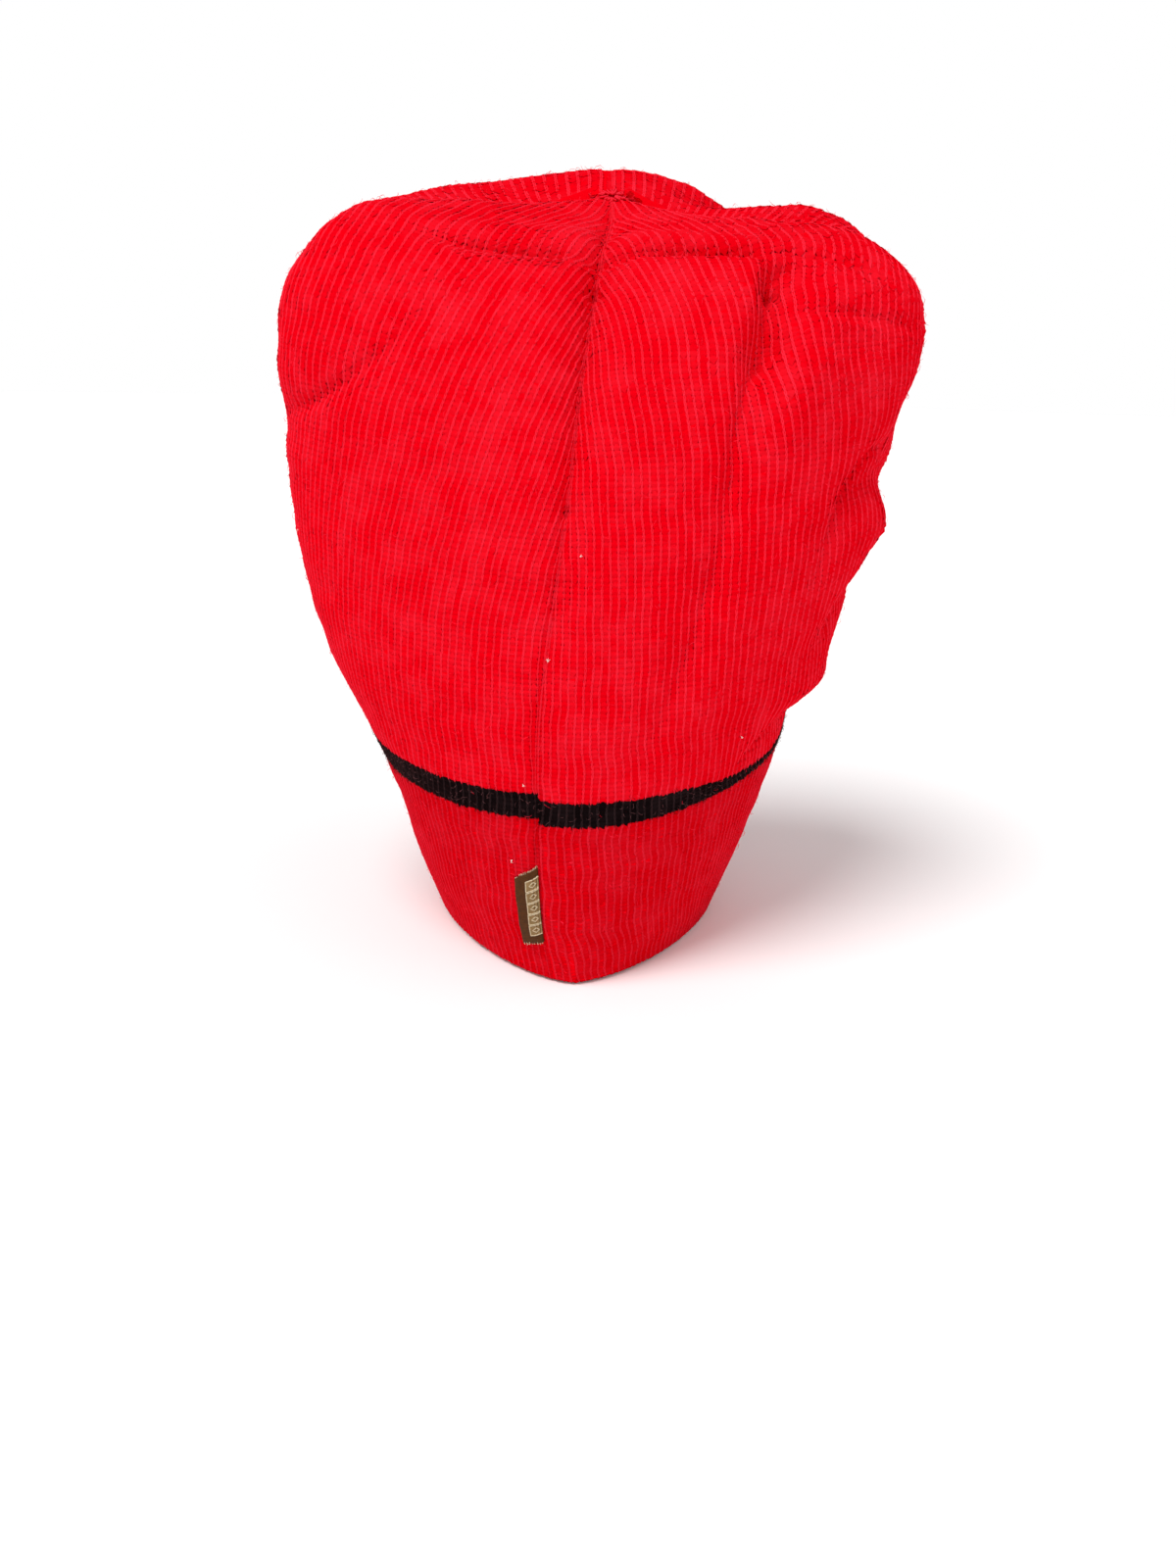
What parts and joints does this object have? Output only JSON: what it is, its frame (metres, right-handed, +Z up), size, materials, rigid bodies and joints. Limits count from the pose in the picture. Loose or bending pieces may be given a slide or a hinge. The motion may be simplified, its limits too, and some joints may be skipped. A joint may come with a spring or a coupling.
{
  "type": "beanie",
  "caption": "Long slouchy knitted beanie standing open on its rim, with a wide soft crown closed by four darts, a thin contrast stripe above the band and a folded ribbon tab in the front seam",
  "frame": {"origin": "under the middle of the hat's box, on the surface that the rim stands on", "axes": "+Z up from the rim to the crown, +X to the right of the seam's face, -Y the front with the seam and the tab"},
  "size_m": [0.2385, 0.1628, 0.2966],
  "materials": {
    "red_knit": "fine rib knit in wool-blend yarn, slightly fuzzy",
    "black_knit": "the same knit in near-black yarn",
    "ribbon": "woven brown ribbon with a tan woven strip"
  },
  "bodies": {
    "root": {"crown": "red_knit", "stripe": "black_knit", "rim_band": "red_knit", "label_tab": "ribbon"}
  },
  "joints": []
}
